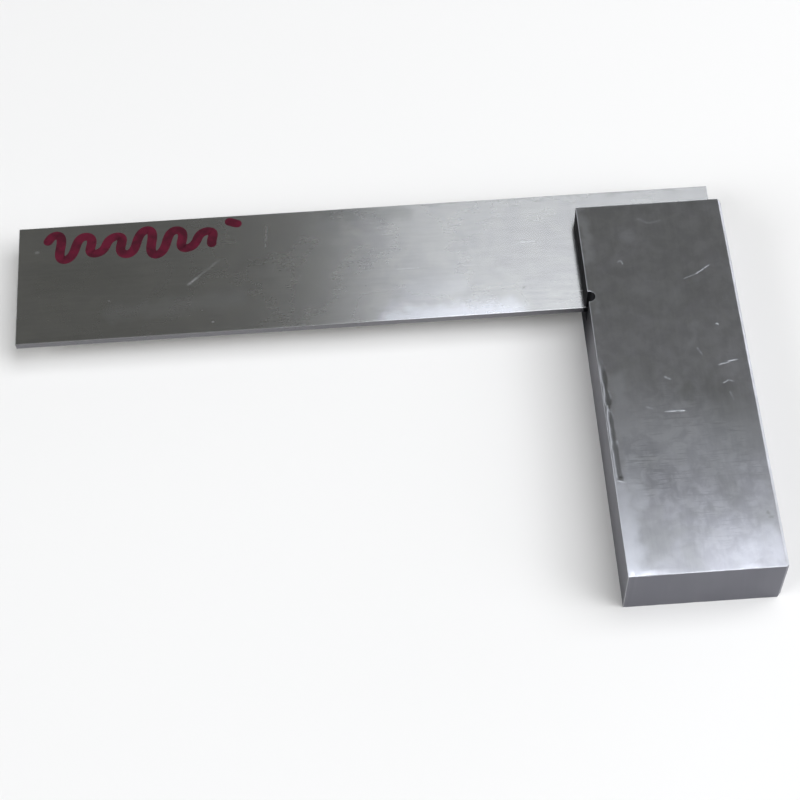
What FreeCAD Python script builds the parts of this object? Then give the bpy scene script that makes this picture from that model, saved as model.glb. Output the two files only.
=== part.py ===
import FreeCAD, Part
import Sketcher
import os

# A solid steel try square, lying flat on its stock.  A thin ground blade sits in a slot sawn
# through the far end of a thick ground stock, and three rivets, ground flush, hold it there.
#
# Row frame: +X runs along the blade towards the stock, +Y along the stock towards the blade,
# +Z up.  The origin is the centre of the bounding box, on the surface that the stock rests on.
# Each body is drawn about the inner corner, where the blade's inner edge meets the stock's
# inner face, and is then placed at that corner in the row frame.

SIZES = (
    ("blade_reach", 150.0, "blade, from the stock's inner face to its tip"),
    ("blade_width", 37.5, "blade, inner edge to outer edge"),
    ("blade_thickness", 2.0, "blade"),
    ("blade_setback", 1.5, "blade's seated end, short of the stock's outer face"),
    ("stock_width", 39.0, "stock, inner face to outer face"),
    ("stock_thickness", 16.5, "stock, underside to top"),
    ("stock_reach", 83.0, "stock, from the blade's inner edge to its near end"),
    ("slot_depth", 27.5, "slot, from the stock's far end to its floor"),
    ("stock_bevel", 0.8, "broken edges round the stock's outer face"),
    ("relief_radius", 1.55, "relief hole at the inner corner, drilled down to the slot's lower wall"),
    ("relief_inset", 0.3, "relief hole's centre, inside the stock's inner face"),
    ("relief_drop", 1.4, "relief hole's centre, short of the blade's inner edge"),
    ("rivet_radius", 2.0, "rivet's shank, and the holes that it fills"),
    ("rivet_flare", 0.4, "45 degree flare at each end of a rivet"),
    ("rivet_margin", 12.4, "outer pair of rivets, in from the stock's long faces"),
    ("rivet_pair_seat", 17.0, "outer pair of rivets, up from the slot's floor"),
    ("rivet_single_seat", 7.5, "middle rivet, up from the slot's floor"),
)

# The inner corner in the row frame, and the height of the slot's lower wall.
CORNER_X = "(Sizes.blade_reach - Sizes.stock_width) / 2"
CORNER_Y = "(Sizes.stock_reach - Sizes.blade_width) / 2"
SLOT_BASE = "(Sizes.stock_thickness - Sizes.blade_thickness) / 2"

# Each rivet's name, and its axis measured from the inner corner.
RIVETS = (
    ("rivet_inner", "Sizes.rivet_margin", "Sizes.rivet_pair_seat"),
    ("rivet_outer", "Sizes.stock_width - Sizes.rivet_margin", "Sizes.rivet_pair_seat"),
    ("rivet_middle", "Sizes.stock_width / 2", "Sizes.rivet_single_seat"),
)


def make_sheet(doc):
    """The driving dimensions, one row each: name, value in millimetres, what it measures."""
    sheet = doc.addObject("Spreadsheet::Sheet", "Sizes")
    for row, (alias, value, meaning) in enumerate(SIZES, start=1):
        sheet.set(f"A{row}", alias)
        sheet.set(f"B{row}", str(value))
        sheet.set(f"C{row}", meaning)
        sheet.setAlias(f"B{row}", alias)
    doc.recompute()


def make_body(doc, name, across=CORNER_X, along=CORNER_Y, up="0"):
    """An empty body, placed in the row frame by three expressions."""
    body = doc.addObject("PartDesign::Body", name)
    body.Label = name
    body.setExpression("Placement.Base.x", across)
    body.setExpression("Placement.Base.y", along)
    body.setExpression("Placement.Base.z", up)
    return body


def make_sketch(body, name, role):
    """An empty sketch on one of the body's own origin planes."""
    sketch = body.newObject("Sketcher::SketchObject", f"{body.Label}_{name}")
    plane = next(feature for feature in body.Origin.OriginFeatures if feature.Role == role)
    sketch.AttachmentSupport = [(plane, "")]
    sketch.MapMode = "FlatFace"
    return sketch


def place_point(sketch, edge, point, across, up):
    """Ties one point of a sketch's edge to two expressions, from the sketch's origin."""
    for kind, length in (("DistanceX", across), ("DistanceY", up)):
        value = sketch.evalExpression(length)
        number = sketch.addConstraint(Sketcher.Constraint(kind, -1, 1, edge, point, value))
        sketch.setExpression(f"Constraints[{number}]", length)


def draw_outline(sketch, corners):
    """A closed outline through corners given as pairs of expressions."""
    points = [
        FreeCAD.Vector(sketch.evalExpression(across), sketch.evalExpression(up), 0)
        for across, up in corners
    ]
    for start, end in zip(points, points[1:] + points[:1]):
        sketch.addGeometry(Part.LineSegment(start, end), False)
    for edge in range(len(corners)):
        following = (edge + 1) % len(corners)
        sketch.addConstraint(Sketcher.Constraint("Coincident", edge, 2, following, 1))
    for edge, (across, up) in enumerate(corners):
        place_point(sketch, edge, 1, across, up)


def draw_circle(sketch, across, up, radius):
    """A circle whose centre and radius are expressions."""
    size = sketch.evalExpression(radius)
    middle = FreeCAD.Vector(sketch.evalExpression(across), sketch.evalExpression(up), 0)
    circle = sketch.addGeometry(Part.Circle(middle, FreeCAD.Vector(0, 0, 1), size), False)
    place_point(sketch, circle, 3, across, up)
    number = sketch.addConstraint(Sketcher.Constraint("Radius", circle, size))
    sketch.setExpression(f"Constraints[{number}]", radius)


def pad(body, sketch, length):
    """Raises a sketch along its plane's normal."""
    feature = body.newObject("PartDesign::Pad", f"{sketch.Name}_pad")
    feature.Profile = sketch
    feature.setExpression("Length", length)
    body.Document.recompute()


def cut(body, sketch, way):
    """Cuts a sketch out of the body, as far as the body goes in the given way."""
    before = body.Shape.Volume
    feature = body.newObject("PartDesign::Pocket", f"{sketch.Name}_pocket")
    feature.Profile = sketch
    feature.Type = "ThroughAll"
    setattr(feature, way, True)
    body.Document.recompute()
    if body.Shape.Volume >= before:
        raise RuntimeError(f"{feature.Name} cuts nothing")


def cut_through(body, sketch):
    """Cuts a sketch through the whole body, on both sides of its plane."""
    cut(body, sketch, "Midplane")


def cut_upwards(body, sketch):
    """Cuts a sketch from its plane up through the top of the body."""
    cut(body, sketch, "Reversed")


def bevel(body, name, is_wanted, size):
    """Breaks every edge of the body that is_wanted accepts, at 45 degrees."""
    base = body.Tip
    edges = [f"Edge{i}" for i, edge in enumerate(base.Shape.Edges, start=1) if is_wanted(edge)]
    feature = body.newObject("PartDesign::Chamfer", f"{body.Label}_{name}")
    feature.Base = (base, edges)
    feature.setExpression("Size", size)
    body.Document.recompute()


def make_rivet_holes(body):
    """The three holes that run through the stock's cheeks and the blade."""
    holes = make_sketch(body, "rivet_holes", "XY_Plane")
    for _, across, up in RIVETS:
        draw_circle(holes, across, up, "Sizes.rivet_radius")
    cut_through(body, holes)


def make_stock(doc):
    """The thick bar: slotted for the blade, relieved at the corner, drilled for the rivets."""
    stock = make_body(doc, "stock")
    bar = make_sketch(stock, "bar", "XY_Plane")
    draw_outline(bar, (
        ("0", "-Sizes.stock_reach"),
        ("Sizes.stock_width", "-Sizes.stock_reach"),
        ("Sizes.stock_width", "Sizes.slot_depth"),
        ("0", "Sizes.slot_depth"),
    ))
    pad(stock, bar, "Sizes.stock_thickness")

    outer_face = stock.evalExpression("Sizes.stock_width")
    bevel(stock, "outer_bevel", lambda edge: edge.BoundBox.XMin > outer_face - 0.01,
          "Sizes.stock_bevel")

    slot = make_sketch(stock, "slot", "YZ_Plane")
    slot_top = f"{SLOT_BASE} + Sizes.blade_thickness"
    draw_outline(slot, (
        ("0", SLOT_BASE),
        ("Sizes.slot_depth", SLOT_BASE),
        ("Sizes.slot_depth", slot_top),
        ("0", slot_top),
    ))
    cut_through(stock, slot)

    relief = make_sketch(stock, "relief", "XY_Plane")
    relief.setExpression("AttachmentOffset.Base.z", SLOT_BASE)
    draw_circle(relief, "Sizes.relief_inset", "-Sizes.relief_drop", "Sizes.relief_radius")
    cut_upwards(stock, relief)

    make_rivet_holes(stock)
    top = stock.evalExpression("Sizes.stock_thickness")
    hole = stock.evalExpression("Sizes.rivet_radius")

    def is_hole_mouth(edge):
        round_edge = isinstance(edge.Curve, Part.Circle) and abs(edge.Curve.Radius - hole) < 0.01
        height = edge.BoundBox.Center.z
        return round_edge and (abs(height) < 0.01 or abs(height - top) < 0.01)

    bevel(stock, "countersinks", is_hole_mouth, "Sizes.rivet_flare")
    return stock


def make_blade(doc):
    """The thin strip: its seated end fills the slot, and its outer edge stands proud of it.

    The working and the seated lengths are two pads that aren't merged, so the edges and faces
    that a user can reach are faces of their own, which end where the stock begins.
    """
    blade = make_body(doc, "blade", up=SLOT_BASE)
    seated_end = "Sizes.stock_width - Sizes.blade_setback"
    for name, start, end in (("working", "-Sizes.blade_reach", "0"), ("seated", "0", seated_end)):
        length = make_sketch(blade, name, "XY_Plane")
        draw_outline(length, (
            (start, "0"),
            (end, "0"),
            (end, "Sizes.blade_width"),
            (start, "Sizes.blade_width"),
        ))
        pad(blade, length, "Sizes.blade_thickness")
    make_rivet_holes(blade)
    for feature in blade.Group:
        if hasattr(feature, "Refine"):
            feature.Refine = False
    return blade


def make_rivet(doc, name, across, along):
    """A plain pin, spread into a small countersink at each end and ground off flush."""
    rivet = make_body(doc, name, f"{CORNER_X} + {across}", f"{CORNER_Y} + {along}")
    half = make_sketch(rivet, "half_section", "XZ_Plane")
    head = "Sizes.rivet_radius + Sizes.rivet_flare"
    draw_outline(half, (
        ("0", "0"),
        (head, "0"),
        ("Sizes.rivet_radius", "Sizes.rivet_flare"),
        ("Sizes.rivet_radius", "Sizes.stock_thickness - Sizes.rivet_flare"),
        (head, "Sizes.stock_thickness"),
        ("0", "Sizes.stock_thickness"),
    ))
    turned = rivet.newObject("PartDesign::Revolution", f"{name}_turned")
    turned.Profile = half
    turned.ReferenceAxis = (half, ["V_Axis"])
    turned.Angle = 360
    return rivet


def check(doc, bodies):
    """Stops before anything is written if a feature failed or a body isn't one sound solid."""
    doc.recompute()
    for item in doc.Objects:
        if "Invalid" in item.State or "Error" in item.State:
            raise RuntimeError(f"{item.Name} failed: {item.State}")
    for body in bodies:
        shape = body.Shape
        if shape.isNull() or not shape.isValid() or len(shape.Solids) != 1:
            raise RuntimeError(f"{body.Label} isn't one valid solid")


def main():
    doc = FreeCAD.newDocument("try_square")
    make_sheet(doc)
    bodies = [make_stock(doc), make_blade(doc)]
    bodies += [make_rivet(doc, *rivet) for rivet in RIVETS]
    check(doc, bodies)
    os.makedirs("parts", exist_ok=True)
    for body in bodies:
        body.Shape.exportStep(f"parts/{body.Label}.step")
        box = body.Shape.BoundBox
        print(f"{body.Label}: {body.Shape.Volume:.1f} mm3,",
              f"X {box.XMin:.2f} to {box.XMax:.2f},",
              f"Y {box.YMin:.2f} to {box.YMax:.2f},",
              f"Z {box.ZMin:.2f} to {box.ZMax:.2f}")


main()
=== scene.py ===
import bmesh
import bpy
import math
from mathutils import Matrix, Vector, noise


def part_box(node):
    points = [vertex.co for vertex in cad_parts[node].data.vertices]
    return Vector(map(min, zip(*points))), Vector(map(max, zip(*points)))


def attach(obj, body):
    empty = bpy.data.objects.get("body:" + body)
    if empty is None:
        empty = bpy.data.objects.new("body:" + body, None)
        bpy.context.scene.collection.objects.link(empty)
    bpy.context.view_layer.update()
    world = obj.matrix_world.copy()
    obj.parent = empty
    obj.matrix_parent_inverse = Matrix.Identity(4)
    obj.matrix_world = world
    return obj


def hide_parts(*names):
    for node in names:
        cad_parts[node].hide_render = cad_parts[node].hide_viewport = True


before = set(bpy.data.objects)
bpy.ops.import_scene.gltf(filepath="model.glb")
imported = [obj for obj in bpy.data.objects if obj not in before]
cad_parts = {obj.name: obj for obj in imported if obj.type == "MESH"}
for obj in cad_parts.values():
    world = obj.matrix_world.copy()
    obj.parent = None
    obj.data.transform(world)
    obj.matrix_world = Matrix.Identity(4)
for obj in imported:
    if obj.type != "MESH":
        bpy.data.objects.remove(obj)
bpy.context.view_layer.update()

# ---- The stock ---------------------------------------------------------------------------------
# A thick bar of ground steel, the part that is held against the edge of the work. It is slotted
# for the blade, drilled from the top at the inner corner, surface-ground along its length on all
# faces and worn since: its edges are dinged, and its top is stained, scratched and scarred.

mm = 0.001
stock_low, stock_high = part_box("stock")
blade_low, blade_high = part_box("blade")
corner = Vector((stock_low.x, blade_low.y, 0.0))  # the square's inner corner


def from_corner(across, along, height):
    """A point given in millimetres from the inner corner, at a height in metres."""
    return Vector((corner.x + across * mm, corner.y + along * mm, height))


# The old scar beside the stock's inner edge: where it starts, ends and is pinched along the
# stock, in millimetres from the inner corner. The mesh is cut into fine columns and rows there.
scar_start = -20.8
scar_end = -56.4
scar_pinch = (-36.2, -34.9)
scar_depth = 0.1 * mm
scar_columns = [corner.x + step * 0.22 * mm for step in range(1, 13)]
scar_rows = [corner.y - (20.5 + step * 0.6) * mm for step in range(64)]


def old_scar(point):
    """How deep a point of the top face lies in the old scar, from 0 to 1, and how far it is on
    the burr that was thrown up along the scar's side towards the inner edge."""
    across = (point.x - corner.x) / mm
    along = (point.y - corner.y) / mm
    middle = 1.3 - 0.01 * (along + 38) + 0.2 * noise.noise(Vector((along / 6, 0, 3)))
    half_width = 0.5 + 0.35 * noise.noise(Vector((along / 3.5, 5, 0)))
    if scar_pinch[0] < along < scar_pinch[1]:
        half_width *= 0.4
    wall = 0.35
    burr_width = 0.25
    burr_gap = 0.3
    start_slope = 4
    end_slope = 0.8
    ends = max(0.0, min(1.0, (scar_start - along) / start_slope, (along - scar_end) / end_slope))
    depth = ends * max(0.0, min(1.0, (half_width - abs(across - middle)) / wall + 0.5))
    burr = ends * max(0.0, 1.0 - abs(middle - across - half_width - burr_gap) / burr_width)
    return depth, burr


same_place = 0.001 * mm  # points closer than this are one


def slice_up(bm, axis, places):
    """Adds a row of vertices wherever the mesh crosses one of the places on an axis."""
    normal = Vector((axis == 0, axis == 1, axis == 2))
    for place in places:
        everything = bm.verts[:] + bm.edges[:] + bm.faces[:]
        bmesh.ops.bisect_plane(bm, geom=everything, dist=same_place / 10,
                               plane_co=normal * place, plane_no=normal)


def spaced(low, high, gap):
    """Evenly spaced places between low and high, about gap apart."""
    count = max(2, round((high - low) / gap))
    return [low + (high - low) * step / count for step in range(1, count)]


rivet_nodes = ("rivet_inner", "rivet_outer", "rivet_middle")
rivet_axes = [((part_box(node)[0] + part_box(node)[1]) / 2).xy for node in rivet_nodes]


def worn_body(node, name, rounding, ding_depth, ding_size, edge_wear=1.0, flat_wear=0.0, scar=None):
    """A mesh on a CAD node's own faces, with rounded edges that carry small dings.

    Every vertex gets a wear value, which the steel shows as brightness, and a scar value, which
    it shows as darkness.
    """
    hole_mouth = 2.6 * mm  # the radius that takes in a rivet hole and its countersink
    sharp_fold = math.radians(35)
    grid = 1.5 * mm
    whole_edge = 0.25  # noise below this leaves an edge without a ding
    facing_axis = 0.7  # a normal's part along an axis, above which the face counts as facing it
    low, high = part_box(node)
    bm = bmesh.new()
    bm.from_mesh(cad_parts[node].data)
    bmesh.ops.remove_doubles(bm, verts=bm.verts, dist=same_place)
    bmesh.ops.dissolve_limit(bm, angle_limit=math.radians(1), verts=bm.verts, edges=bm.edges)

    def on_rivet(vertex):
        return any((vertex.co.xy - axis).length < hole_mouth for axis in rivet_axes)

    sharp = [
        edge for edge in bm.edges
        if len(edge.link_faces) == 2
        and edge.calc_face_angle() > sharp_fold
        and not all(on_rivet(vertex) for vertex in edge.verts)
    ]
    if rounding:
        bmesh.ops.bevel(bm, geom=sharp, offset=rounding, segments=3, profile=0.5,
                        affect="EDGES", clamp_overlap=True)
        bmesh.ops.triangulate(bm, faces=[face for face in bm.faces if len(face.verts) > 4])
        margin = rounding * 2.5
        for axis in (0, 1):
            slice_up(bm, axis, spaced(low[axis] + margin, high[axis] - margin, grid))
        for axis in (0, 1, 2):
            slice_up(bm, axis, (low[axis] + margin, high[axis] - margin))
    if scar:
        slice_up(bm, 0, scar_columns)
        slice_up(bm, 1, scar_rows)
    bmesh.ops.dissolve_degenerate(bm, dist=same_place * 2, edges=bm.edges)

    wear = bm.verts.layers.float.new("wear")
    sunk = bm.verts.layers.float.new("scar")
    middle = (low + high) / 2
    for vertex in bm.verts:
        # How many of the box's sides the vertex is close to: 2 on an edge, 3 at a corner.
        near = sum(
            min(abs(vertex.co[i] - low[i]), abs(vertex.co[i] - high[i])) < rounding * 1.05
            for i in range(3)
        )
        if scar and vertex.co.z > high.z - same_place:
            vertex[sunk], vertex[wear] = scar(vertex.co)
            vertex.co.z -= scar_depth * vertex[sunk]
        on_edge = rounding and near >= 2
        vertex[wear] = edge_wear if on_edge else max(vertex[wear], flat_wear)
        if not on_edge or near == 3:
            continue
        ding = noise.noise(vertex.co / ding_size) + 0.5 * noise.noise(vertex.co / ding_size * 3.1)
        depth = ding_depth * max(0.0, ding - whole_edge)
        vertex.co += (middle - vertex.co).normalized() * depth

    # The grain map runs along X on the blade and along Y on the other pieces, and crossways on
    # the faces at their ends.
    grain_map = bm.loops.layers.uv.new("grain")
    for face in bm.faces:
        along = 0 if node == "blade" else 1
        if abs(face.normal[along]) > facing_axis:
            along = 1 - along
        other = 2 if abs(face.normal[1 - along]) > facing_axis else 1 - along
        for loop in face.loops:
            loop[grain_map].uv = (loop.vert.co[along], loop.vert.co[other])

    mesh = bpy.data.meshes.new(name)
    bm.to_mesh(mesh)
    bm.free()
    # The CAD mesh's own normals don't fit the rounded edges.
    if "custom_normal" in mesh.attributes:
        mesh.attributes.remove(mesh.attributes["custom_normal"])
    mesh.shade_smooth()
    mesh.set_sharp_from_angle(angle=math.radians(40))
    piece = bpy.data.objects.new(name, mesh)
    bpy.context.scene.collection.objects.link(piece)
    return piece


stock = worn_body("stock", "stock_ground", rounding=0.12 * mm, ding_depth=0.2 * mm,
                  ding_size=3 * mm, scar=old_scar)


def add(tree, kind, **settings):
    """A node in a shader tree, with its properties set."""
    node = tree.nodes.new(kind)
    for name, value in settings.items():
        setattr(node, name, value)
    return node


def feed(tree, node, values):
    """Sets a node's sockets: an output is linked, anything else is put on the socket."""
    for socket, value in values.items():
        target = node.inputs[socket]
        if isinstance(value, bpy.types.NodeSocket):
            tree.links.new(value, target)
        else:
            target.default_value = value
    return node


def maths(tree, operation, *values):
    """The output of a math node."""
    node = add(tree, "ShaderNodeMath", operation=operation)
    return feed(tree, node, dict(enumerate(values))).outputs[0]


def product(tree, first, *others):
    """Two or more values multiplied together."""
    for value in others:
        first = maths(tree, "MULTIPLY", first, value)
    return first


def vector_maths(tree, operation, *values):
    """The vector that a vector math node gives."""
    node = add(tree, "ShaderNodeVectorMath", operation=operation)
    return feed(tree, node, dict(enumerate(values))).outputs["Vector"]


def measured(tree, operation, *values):
    """The number that a vector math node gives, such as a length or a distance."""
    node = add(tree, "ShaderNodeVectorMath", operation=operation)
    return feed(tree, node, dict(enumerate(values))).outputs["Value"]


def scaled(tree, vector, factor):
    """A vector made longer or shorter."""
    node = add(tree, "ShaderNodeVectorMath", operation="SCALE")
    return feed(tree, node, {"Vector": vector, "Scale": factor}).outputs["Vector"]


def noise_texture(tree, values, dimensions="3D"):
    """A noise texture node, with its sockets set."""
    return feed(tree, add(tree, "ShaderNodeTexNoise", noise_dimensions=dimensions), values).outputs


def tint(tree, factor, under, over, blend_type="MIX"):
    """Two colours mixed by a factor."""
    node = add(tree, "ShaderNodeMix", data_type="RGBA", blend_type=blend_type)
    feed(tree, node, {0: factor, 6: under, 7: over})
    return node.outputs[2]


def ramp(tree, value, low, high, out_low=0.0, out_high=1.0):
    """A value moved smoothly from one range to another, and held at its ends."""
    node = add(tree, "ShaderNodeMapRange", interpolation_type="SMOOTHSTEP")
    feed(tree, node, {"Value": value, "From Min": low, "From Max": high,
                      "To Min": out_low, "To Max": out_high})
    return node.outputs[0]


def new_group(name, inputs, outputs):
    """An empty node group with the named inputs and outputs."""
    group = bpy.data.node_groups.new(name, "ShaderNodeTree")
    for label, kind, value in inputs:
        socket = group.interface.new_socket(label, in_out="INPUT", socket_type=f"NodeSocket{kind}")
        if value is not None:
            socket.default_value = value
    for label, kind in outputs:
        group.interface.new_socket(label, in_out="OUTPUT", socket_type=f"NodeSocket{kind}")
    return group, add(group, "NodeGroupInput").outputs, add(group, "NodeGroupOutput")


def use_group(tree, group, **values):
    """A node group placed in a material, with its own values."""
    node = add(tree, "ShaderNodeGroup", node_tree=group)
    return feed(tree, node, {key.replace("_", " "): value for key, value in values.items()}).outputs


# Grinding and brushing leave fine lines one way, each up to about 10 millimetres long. Rubbing
# since then has left dashes, which are coarser and further apart.
grain, given, out = new_group(
    "grain lines",
    [("Vector", "Vector", None), ("Stretch", "Vector", (1, 1, 1)), ("Contrast", "Float", 1.0)],
    [("Lines", "Float"), ("Dashes", "Float")],
)
stretched = vector_maths(grain, "MULTIPLY", given["Vector"], given["Stretch"])
fine = noise_texture(
    grain, {"Vector": stretched, "Scale": 1.0, "Detail": 3.0, "Roughness": 0.6})["Fac"]
coarse = noise_texture(grain, {"Vector": stretched, "Scale": 0.45, "Detail": 1.0})["Fac"]
lines = product(grain, maths(grain, "SUBTRACT", fine, 0.5), given["Contrast"])
feed(grain, out, {"Lines": lines, "Dashes": ramp(grain, coarse, low=0.54, high=0.66)})

# Handling leaves cloudy stains, where the steel has dulled in patches, and a few small spots.
stain, given, out = new_group(
    "cloudy stain",
    [("Vector", "Vector", None), ("Size", "Float", 0.01), ("Seed", "Float", 0.0)],
    [("Cloud", "Float"), ("Spots", "Float")],
)
cloud_scale = maths(stain, "DIVIDE", 1.0, given["Size"])
cloud = noise_texture(
    stain,
    {"Vector": given["Vector"], "W": given["Seed"], "Scale": cloud_scale,
     "Detail": 4.0, "Roughness": 0.55, "Distortion": 0.4},
    dimensions="4D",
)["Fac"]
spots = noise_texture(
    stain,
    {"Vector": given["Vector"], "W": given["Seed"], "Scale": product(stain, cloud_scale, 4.0),
     "Detail": 2.0},
    dimensions="4D",
)["Fac"]
feed(stain, out, {
    "Cloud": ramp(stain, cloud, low=0.36, high=0.64),
    "Spots": ramp(stain, spots, low=0.73, high=0.78),
})

# A mark runs straight between two points, thin for a scratch and broad for a stain, and fades
# at its sides.
mark, given, out = new_group(
    "mark",
    [("Vector", "Vector", None), ("Start", "Vector", (0, 0, 0)), ("End", "Vector", (0, 0, 0)),
     ("Width", "Float", 0.0005)],
    [("Mask", "Float")],
)
reach = vector_maths(mark, "SUBTRACT", given["End"], given["Start"])
offset = vector_maths(mark, "SUBTRACT", given["Vector"], given["Start"])
share = maths(mark, "DIVIDE", measured(mark, "DOT_PRODUCT", offset, reach),
              measured(mark, "DOT_PRODUCT", reach, reach))
clamped = feed(mark, add(mark, "ShaderNodeClamp"), {"Value": share}).outputs[0]
nearest = scaled(mark, reach, clamped)
away = measured(mark, "LENGTH", vector_maths(mark, "SUBTRACT", offset, nearest))
half = product(mark, given["Width"], 0.5)
core = product(mark, half, 0.1)
feed(mark, out, {"Mask": ramp(mark, away, core, half, out_low=1.0, out_high=0.0)})


def wobbled(tree, where, scale, amount):
    """A position pushed about by noise, so that marks made with it have uneven sides."""
    wobble = noise_texture(tree, {"Vector": where, "Scale": scale, "Detail": 2.0})["Color"]
    push = vector_maths(tree, "SUBTRACT", wobble, (0.5, 0.5, 0.5))
    return vector_maths(tree, "ADD", where, scaled(tree, push, amount))


def marks_mask(tree, where, marks, height):
    """All marks of one kind on a face as one mask.

    Each mark is its start and its end across and along from the inner corner, its width, all in
    millimetres, and its strength from 0 to 1.
    """
    total = 0.0
    for start, end, width, strength in marks:
        mask = use_group(tree, mark, Vector=where, Start=from_corner(*start, height),
                         End=from_corner(*end, height), Width=width * mm)["Mask"]
        total = maths(tree, "MAXIMUM", total, product(tree, mask, strength))
    return total


relief_axis = from_corner(0.3, -1.4, 0)
relief_radius = 1.55 * mm
steel_tints = {
    "clouded": (0.33, 0.345, 0.31, 1),
    "mottled": (0.4, 0.4, 0.44, 1),
    "tarnished": (0.28, 0.29, 0.28, 1),
    "polished": (0.91, 0.93, 0.99, 1),
    "rubbed": (0.25, 0.26, 0.3, 1),
    "painted_shade_black": (0.02, 0.02, 0.022, 1),
    "scarred": (0.2, 0.205, 0.21, 1),
    "bright": (0.8, 0.81, 0.83, 1),
}


def steel(name, colour, shaded_side_colour, stretch, streakiness, hatch, marks, height, roughness,
          oneway, stain_size, stained, seed):
    """Ground or brushed steel: fine lines, cloudy stains, bright worn edges and scratches.

    The colour is that of level faces, and the side colour that of upright ones, painted far darker
    as shade on the sides. Stretch and hatch say how closely the lines and the dashes follow one
    another along each axis, per metre.
    """
    material = bpy.data.materials.new(name)
    material.use_nodes = True
    tree = material.node_tree
    shader = tree.nodes["Principled BSDF"]
    where = add(tree, "ShaderNodeTexCoord").outputs["Object"]
    facing = add(tree, "ShaderNodeSeparateXYZ")
    feed(tree, facing, {0: add(tree, "ShaderNodeNewGeometry").outputs["True Normal"]})
    level = ramp(tree, maths(tree, "ABSOLUTE", facing.outputs["Z"]), low=0.2, high=0.5)

    lines = use_group(tree, grain, Vector=where, Stretch=stretch, Contrast=streakiness)
    clouds = use_group(tree, stain, Vector=where, Size=stain_size, Seed=seed)
    mottle = use_group(tree, stain, Vector=where, Size=stain_size * 0.28, Seed=seed + 3)
    ragged = wobbled(tree, where, scale=900.0, amount=0.25 * mm)
    smudged = wobbled(tree, where, scale=260.0, amount=5 * mm)
    gaps = noise_texture(tree, {"Vector": where, "Scale": 1300.0, "Detail": 2.0})["Fac"]
    unbroken = ramp(tree, gaps, low=0.3, high=0.55, out_low=0.3)
    cuts = product(tree, marks_mask(tree, ragged, marks["scratched"], height), unbroken)
    bare, dull, rubbed = (
        product(tree, marks_mask(tree, smudged, marks[kind], height), level)
        for kind in ("polished", "tarnished", "rubbed")
    )
    edge = add(tree, "ShaderNodeAttribute", attribute_name="wear").outputs["Fac"]
    sunk = add(tree, "ShaderNodeAttribute", attribute_name="scar").outputs["Fac"]

    # The inner corner is painted dark as shade. The relief hole, drilled down to the slot's lower
    # wall, is painted black inside as shade, with a torn bright rim. Upright steel in line with the
    # stock's inner face is painted darker as shade from 15 mm before the corner onwards.
    spot = add(tree, "ShaderNodeSeparateXYZ")
    feed(tree, spot, {0: where})
    drilled = ramp(tree, spot.outputs["Z"], blade_low.z - 0.3 * mm, blade_low.z - 0.1 * mm)
    flat = vector_maths(tree, "MULTIPLY", where, (1, 1, 0))
    to_hole = measured(tree, "DISTANCE", flat, relief_axis)
    in_hole = ramp(tree, to_hole, relief_radius * 1.01, relief_radius * 1.02, out_low=1.0, out_high=0.0)
    in_hole = product(tree, in_hole, drilled)
    torn = maths(tree, "ADD", to_hole, product(tree, mottle["Cloud"], 0.3 * mm))
    rim = ramp(tree, torn, relief_radius * 1.14, relief_radius * 1.4, out_low=0.2, out_high=0.0)
    rim = product(tree, rim, level, drilled)
    from_inside = ramp(tree, spot.outputs["X"], corner.x - 1 * mm, corner.x - 0.5 * mm)
    to_outside = ramp(tree, spot.outputs["X"], corner.x + 1 * mm, corner.x + 4 * mm,
                      out_low=1.0, out_high=0.0)
    upright = product(tree, maths(tree, "SUBTRACT", 1.0, level), from_inside, to_outside)
    # Painted shade: upright steel darkens towards the corner, and the relief hole is blackened.
    painted_shade = ramp(tree, spot.outputs["Y"], corner.y - 15 * mm, corner.y + 2 * mm, out_high=0.62)
    painted_shade = maths(tree, "MAXIMUM", product(tree, painted_shade, upright), in_hole)

    # The colours go on in order: stains, tarnish, polish, rubbing, grain, painted shade, scar and wear.
    # Upright faces take the side colour, painted far darker than the level faces as shade.
    base = tint(tree, level, shaded_side_colour, colour)
    dirty = product(tree, level, stained)
    base = tint(tree, product(tree, clouds["Cloud"], dirty), base, steel_tints["clouded"])
    base = tint(tree, product(tree, mottle["Cloud"], dirty), base, steel_tints["mottled"])
    base = tint(tree, dull, base, steel_tints["tarnished"])
    base = tint(tree, bare, base, steel_tints["polished"])
    crossing = use_group(tree, grain, Vector=where, Stretch=hatch, Contrast=1.0)["Dashes"]
    rubbing = maths(tree, "MAXIMUM", crossing, product(tree, mottle["Cloud"], 0.8))
    base = tint(tree, product(tree, rubbing, rubbed), base, steel_tints["rubbed"])
    streaks = maths(tree, "ADD", product(tree, lines["Lines"], 0.5), 0.5)
    base = tint(tree, level, base, tint(tree, 0.6, base, streaks, "OVERLAY"))
    # The painted shade goes on here, near black in the corner and in the relief hole.
    base = tint(tree, painted_shade, base, steel_tints["painted_shade_black"])
    base = tint(tree, product(tree, sunk, 0.6), base, steel_tints["scarred"])
    flecks = product(tree, mottle["Spots"], product(tree, dirty, 0.5))
    worn = product(tree, maths(tree, "MAXIMUM", edge, rim), 0.4)
    bright = maths(tree, "MAXIMUM", maths(tree, "MAXIMUM", cuts, flecks), worn)
    base = tint(tree, bright, base, steel_tints["bright"])

    rough = roughness
    for cause, amount in ((lines["Lines"], 0.06), (clouds["Cloud"], 0.03), (bright, 0.3), (painted_shade, 0.5)):
        rough = maths(tree, "ADD", rough, product(tree, cause, amount))

    relief = maths(tree, "SUBTRACT", lines["Lines"], product(tree, cuts, 0.8))
    bump = feed(tree, add(tree, "ShaderNodeBump"),
                {"Strength": 0.1, "Distance": 0.02 * mm, "Height": relief})
    tangent = add(tree, "ShaderNodeTangent", direction_type="UV_MAP", uv_map="grain")
    feed(tree, shader, {
        "Base Color": base, "Roughness": rough, "Metallic": maths(tree, "SUBTRACT", 1.0, bright),
        "Anisotropic": oneway, "Anisotropic Rotation": 0.25, "Tangent": tangent.outputs[0],
        "Normal": bump.outputs[0],
    })
    return material


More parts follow.
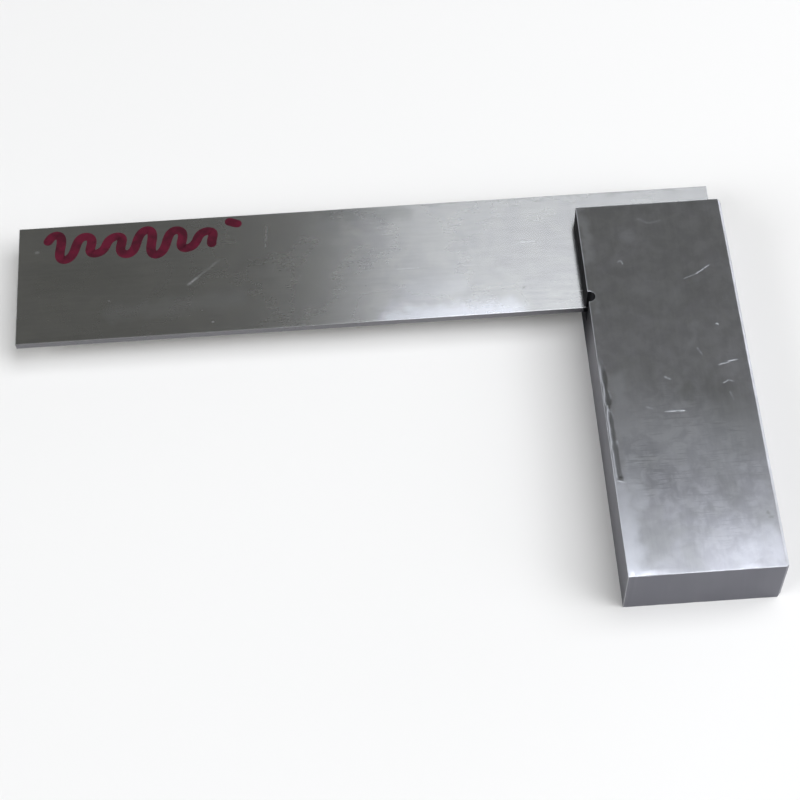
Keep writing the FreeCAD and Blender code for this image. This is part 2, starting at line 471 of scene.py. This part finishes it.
stock_scratches = [
    ((14.7, 2.5), (19.0, 1.9), 0.5, 0.1),
    ((25.6, 2.3), (29.0, 3.6), 0.6, 0.18),
    ((29.0, 3.6), (32.6, 6.0), 0.6, 0.42),
    ((31.9, -12.4), (32.2, -12.6), 0.9, 0.45),
    ((30.6, -24.9), (33.2, -24.3), 0.6, 0.45),
    ((33.2, -24.0), (35.4, -23.7), 0.6, 0.5),
    ((31.0, -30.4), (32.4, -29.6), 0.6, 0.35),
    ((32.4, -29.6), (33.6, -30.2), 0.5, 0.25),
    ((32.2, -33.0), (32.8, -35.5), 0.6, 0.15),
    ((26.0, -19.5), (26.8, -21.5), 0.7, 0.2),
    ((15.0, -37.7), (19.9, -37.8), 0.55, 0.55),
    ((16.2, 22.5), (18.6, 20.9), 1.4, 0.07),
    ((19.4, 20.8), (21.8, 21.6), 1.2, 0.07),
    ((8.9, 8.9), (9.8, 9.3), 0.6, 0.2),
    ((9.8, 9.3), (10.2, 8.2), 0.6, 0.2),
    ((16.5, -27.5), (17.6, -28.3), 0.9, 0.25),
    ((0.9, -56.6), (2.8, -57.4), 0.6, 0.4),
    ((1.2, -58.6), (3.4, -58.9), 0.6, 0.25),
    ((10.4, -36.0), (12.0, -36.6), 0.5, 0.2),
]
stock_polished = [
    ((8.0, -42.0), (28.0, -46.0), 34.0, 0.52),
    ((4.0, -28.0), (5.4, -62.0), 9.0, 0.5),
    ((1.0, 27.0), (1.2, 10.0), 5.0, 0.6),
    ((2.0, -3.5), (2.0, -5.5), 3.0, 0.4),
    ((13.0, 0.5), (21.0, -2.0), 9.0, 0.14),
    ((17.0, -37.0), (19.0, -52.0), 11.0, 0.2),
    ((27.0, -11.5), (24.8, -17.5), 3.0, 0.25),
    ((34.5, -20.0), (34.0, -27.0), 4.0, 0.2),
    ((16.0, -31.5), (16.0, -35.0), 5.0, 0.15),
    ((1.0, -58.0), (1.5, -84.0), 11.0, 0.6),
    ((35.0, -74.0), (28.0, -80.0), 8.0, 0.25),
    ((12.4, 17.0), (12.5, 17.1), 5.5, 0.18),
]
stock_tarnished = [
    ((29.5, -34.0), (31.5, -47.0), 20.0, 0.5),
    ((22.2, -31.0), (21.2, -33.5), 6.0, 0.5),
    ((24.5, -54.0), (28.0, -62.0), 12.0, 0.25),
    ((30.0, 0.0), (31.0, -6.0), 12.0, 0.15),
    ((14.0, -20.0), (12.0, -25.0), 9.0, 0.1),
    ((29.0, -28.0), (27.0, -31.0), 7.0, 0.2),
    ((7.0, -74.0), (15.0, -73.0), 10.0, 0.15),
    ((22.5, 8.7), (22.6, 8.5), 1.2, 0.3),
    ((26.4, -45.0), (26.5, -46.2), 1.6, 0.5),
    ((36.2, -68.0), (36.4, -69.5), 1.4, 0.5),
]
stock_rubbed = [
    ((8.0, -49.0), (12.0, -58.0), 20.0, 0.4),
    ((28.0, -42.0), (33.0, -56.0), 14.0, 0.3),
    ((18.0, -40.0), (24.0, -66.0), 34.0, 0.24),
]
stock_marks = {"scratched": stock_scratches, "polished": stock_polished,
               "tarnished": stock_tarnished, "rubbed": stock_rubbed}
ground_finish = {
    "colour": (0.68, 0.687, 0.735, 1),
    # The colour of upright faces is painted dark as shade on the sides.
    "shaded_side_colour": (0.182, 0.183, 0.208, 1),
    "stretch": (1200, 90, 1200),
    "streakiness": 0.35,
    "hatch": (420, 3600, 420),
    "marks": stock_marks,
    "height": stock_high.z,
    "roughness": 0.28,
    "oneway": 0.97,
    "stain_size": 12 * mm,
    "stained": 0.32,
    "seed": 2.0,
}
stock_steel = steel("ground steel", **ground_finish)
stock.data.materials.append(stock_steel)
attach(stock, "root")
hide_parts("stock")

# ---- The blade ---------------------------------------------------------------------------------
# A strip of thin steel, brushed along its length, that gives the straight edge. Its seated end
# fills the slot in the stock and its outer edge stands proud of the stock's end.

blade = worn_body("blade", "blade_brushed", rounding=0.1 * mm, ding_depth=0.1 * mm,
                  ding_size=5 * mm, edge_wear=0.3)
blade_scratches = [
    ((-104.5, 15.6), (-102.0, 17.8), 1.0, 0.22),
    ((-102.0, 17.8), (-96.3, 22.8), 0.9, 0.09),
    ((-83.0, 33.4), (-83.6, 26.4), 0.6, 0.07),
    ((-81.2, 20.6), (-81.8, 18.4), 0.6, 0.1),
    ((-145.1, 29.4), (-144.9, 29.4), 1.6, 0.1),
    ((-98.2, 3.2), (-98.0, 3.2), 0.9, 0.15),
    ((-15.0, 22.6), (-11.0, 22.6), 0.5, 0.5),
    ((-49.0, 16.3), (-43.0, 16.3), 0.5, 0.3),
]
blade_polished = [
    # This band along the lower edge is a painted highlight, laid on with the polish tint.
    ((-50.0, 0.0), (-20.0, 0.0), 14.0, 0.55),
    ((-124.0, 8.0), (-92.0, 10.0), 9.0, 0.2),
    ((-45.0, 8.0), (-34.0, 9.0), 12.0, 0.12),
]
blade_tarnished = [
    ((-66.0, 37.0), (-46.0, 35.0), 9.0, 0.35),
    ((-142.0, 22.0), (-122.0, 20.0), 16.0, 0.15),
    ((-89.0, 21.0), (-85.0, 20.5), 6.0, 0.12),
    ((-84.0, 16.0), (-82.0, 15.5), 4.0, 0.1),
    ((-150.0, 1.0), (-134.0, 1.0), 4.0, 0.15),
    ((-15.4, 7.4), (-15.2, 7.4), 1.2, 0.5),
    # This band along the outer edge is painted darker as the edge's darker reflection, with the tarnish
    # tint.
    ((-40.0, 36.9), (30.0, 36.9), 1.6, 0.25),
]
blade_rubbed = [
    ((-60.0, 28.0), (-46.0, 12.0), 34.0, 0.16),
    ((-30.0, 24.0), (-26.0, 10.0), 24.0, 0.09),
]
blade_marks = {"scratched": blade_scratches, "polished": blade_polished,
               "tarnished": blade_tarnished, "rubbed": blade_rubbed}
blade_steel = steel(
    "brushed steel",
    colour=(0.585, 0.585, 0.575, 1),
    # The colour of upright faces is painted dark as shade on the sides.
    shaded_side_colour=(0.2, 0.199, 0.212, 1),
    stretch=(110, 1000, 1000),
    streakiness=0.35,
    hatch=(190, 2000, 190),
    marks=blade_marks,
    height=blade_high.z,
    roughness=0.253,
    oneway=1.0,
    stain_size=22 * mm,
    stained=0.14,
    seed=5.0,
)
blade.data.materials.append(blade_steel)
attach(blade, "root")
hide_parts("blade")

# ---- The rivets --------------------------------------------------------------------------------
# Three plain steel pins through both cheeks of the stock and the blade, spread into small
# countersinks and ground off with the stock's faces, so that only faint round patches show.

rivet_steel = steel("rivet steel", **ground_finish)
rivet_wear = (0.05, 0.02, 0.01)
for node, paler in zip(rivet_nodes, rivet_wear):
    rivet = worn_body(node, node + "_ground", rounding=0, ding_depth=0, ding_size=1, flat_wear=paler)
    rivet.data.materials.append(rivet_steel)
    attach(rivet, "root")
    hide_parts(node)

# ---- The felt-pen line -------------------------------------------------------------------------
# Someone has drawn on the blade with a crimson felt pen. It is a plain wavy line here, a thin
# film of ink on the steel, with a short tick after it.

pen_width = 2.6 * mm
ink_thickness = 0.015 * mm
cap_steps = 8


def pen_stroke(name, points):
    """A closed flat film of ink with round ends, its top running through the points."""
    bm = bmesh.new()
    rows = []
    for index, point in enumerate(points):
        ahead = points[min(index + 1, len(points) - 1)] - points[max(index - 1, 0)]
        side = Vector((-ahead.y, ahead.x, 0)).normalized() * pen_width / 2
        rows.append((bm.verts.new(point - side), bm.verts.new(point + side)))
    for (a, b), (c, d) in zip(rows, rows[1:]):
        bm.faces.new((a, c, d, b))
    for (left, right), tip, back in ((rows[0], points[0], points[1]),
                                     (rows[-1], points[-1], points[-2])):
        outward = (tip - back).normalized() * pen_width / 2
        side = (right.co - left.co) / 2
        cap = [
            bm.verts.new(tip + side * math.cos(turn) + outward * math.sin(turn))
            for turn in (math.pi * step / cap_steps for step in range(1, cap_steps))
        ]
        bm.faces.new([right] + cap + [left])
    lower = bmesh.ops.extrude_face_region(bm, geom=bm.faces[:], use_keep_orig=True)["geom"]
    bmesh.ops.translate(bm, vec=(0, 0, -ink_thickness),
                        verts=[item for item in lower if isinstance(item, bmesh.types.BMVert)])
    bmesh.ops.recalc_face_normals(bm, faces=bm.faces)
    mesh = bpy.data.meshes.new(name)
    bm.to_mesh(mesh)
    bm.free()
    piece = bpy.data.objects.new(name, mesh)
    bpy.context.scene.collection.objects.link(piece)
    return piece


# The wave's start, length and middle line are in millimetres from the inner corner. It leans
# forward, its crests are full, and its height swells and shrinks on the way.
ink_height = blade_high.z + ink_thickness
wave_start = -142.0
wave_length = 45.0
wave_middle = 30.4
wave_count = 5.5
wave_steps = 240
wave_points = []
for step in range(wave_steps + 1):
    share = step / wave_steps
    turn = share * wave_count * 2 * math.pi + 0.6
    fullness = 0.55 * math.sin(2 * turn)
    lean = 0.8 * math.sin(turn)
    across = wave_start + wave_length * share - fullness + lean
    swell = 3.4 + 0.9 * math.sin(share * 11.0 + 1.0)
    wave_points.append(from_corner(across, wave_middle + swell * math.sin(turn), ink_height))
tick_steps = 6
tick_points = [
    from_corner(-93.0 + 2.0 * step / tick_steps, 35.6 - 0.8 * step / tick_steps, ink_height)
    for step in range(tick_steps + 1)
]
strokes = [pen_stroke("felt_pen_wave", wave_points), pen_stroke("felt_pen_tick", tick_points)]

ink = bpy.data.materials.new("crimson ink")
ink.use_nodes = True
tree = ink.node_tree
where = add(tree, "ShaderNodeTexCoord").outputs["Object"]
pooling = use_group(tree, stain, Vector=where, Size=3 * mm, Seed=1.0)["Cloud"]
feed(tree, tree.nodes["Principled BSDF"], {
    "Base Color": tint(tree, pooling, (0.055, 0.006, 0.014, 1), (0.1, 0.008, 0.022, 1)),
    "Roughness": 0.6, "Specular IOR Level": 0.12,
})
for stroke in strokes:
    stroke.data.materials.append(ink)
    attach(stroke, "root")

# ---- The studio --------------------------------------------------------------------------------
# A plain pale floor, a large soft light overhead and to the right, a low wide one behind on the
# right, like a window, and a soft fill on either side in front. The camera stands at a bench
# worker's eye, above the near side of the tool.

bpy.ops.mesh.primitive_plane_add(size=12)
floor = bpy.context.object
floor.name = "floor"
paper = bpy.data.materials.new("pale paper")
paper.use_nodes = True
feed(paper.node_tree, paper.node_tree.nodes["Principled BSDF"],
     {"Base Color": (0.87, 0.85, 0.81, 1), "Roughness": 0.8, "Specular IOR Level": 0.2})
floor.data.materials.append(paper)


def softbox(name, place, target, size, radiance):
    """A rectangular lamp of a given brightness and a slightly cool white, aimed at a point."""
    lamp = bpy.data.lights.new(name, "AREA")
    lamp.shape = "RECTANGLE"
    lamp.size, lamp.size_y = size
    lamp.color = (0.97, 1.0, 1.07)
    lamp.energy = radiance * math.pi * size[0] * size[1]
    box = bpy.data.objects.new(name, lamp)
    box.location = place
    box.rotation_euler = (Vector(target) - Vector(place)).to_track_quat("-Z", "Y").to_euler()
    bpy.context.scene.collection.objects.link(box)


tool = (0, 0, 0)
below_overhead = (1.516, -0.115, 0.0)
softbox("overhead_light", (1.516, -0.115, 2.0), below_overhead, size=(2.97, 2.17), radiance=2.9)
softbox("window_light", (1.9, 1.15, 0.28), tool, size=(2.0, 0.5), radiance=2.8)
softbox("left_fill", (-1.8, -0.8, 1.2), tool, size=(1.4, 1.4), radiance=4.1)
softbox("right_fill", (1.8, -0.8, 1.2), tool, size=(1.4, 1.4), radiance=2.4)

world = bpy.data.worlds.new("dim room")
world.use_nodes = True
feed(world.node_tree, world.node_tree.nodes["Background"],
     {"Color": (0.146, 0.146, 0.138, 1), "Strength": 1.0})
bpy.context.scene.world = world

camera_data = bpy.data.cameras.new("camera")
camera_data.lens = 90.6
camera = bpy.data.objects.new("camera", camera_data)
camera.location = Vector((-7.5, -273.0, 448.2)) * mm
aim = Vector((4.8, -1.2, 8.0)) * mm
roll = math.radians(-1.565)
looking = (aim - camera.location).to_track_quat("-Z", "Y")
camera.rotation_euler = looking.to_euler()
camera.rotation_euler.rotate_axis("Z", roll)
bpy.context.scene.collection.objects.link(camera)
bpy.context.scene.camera = camera
bpy.context.scene.view_settings.view_transform = "Standard"
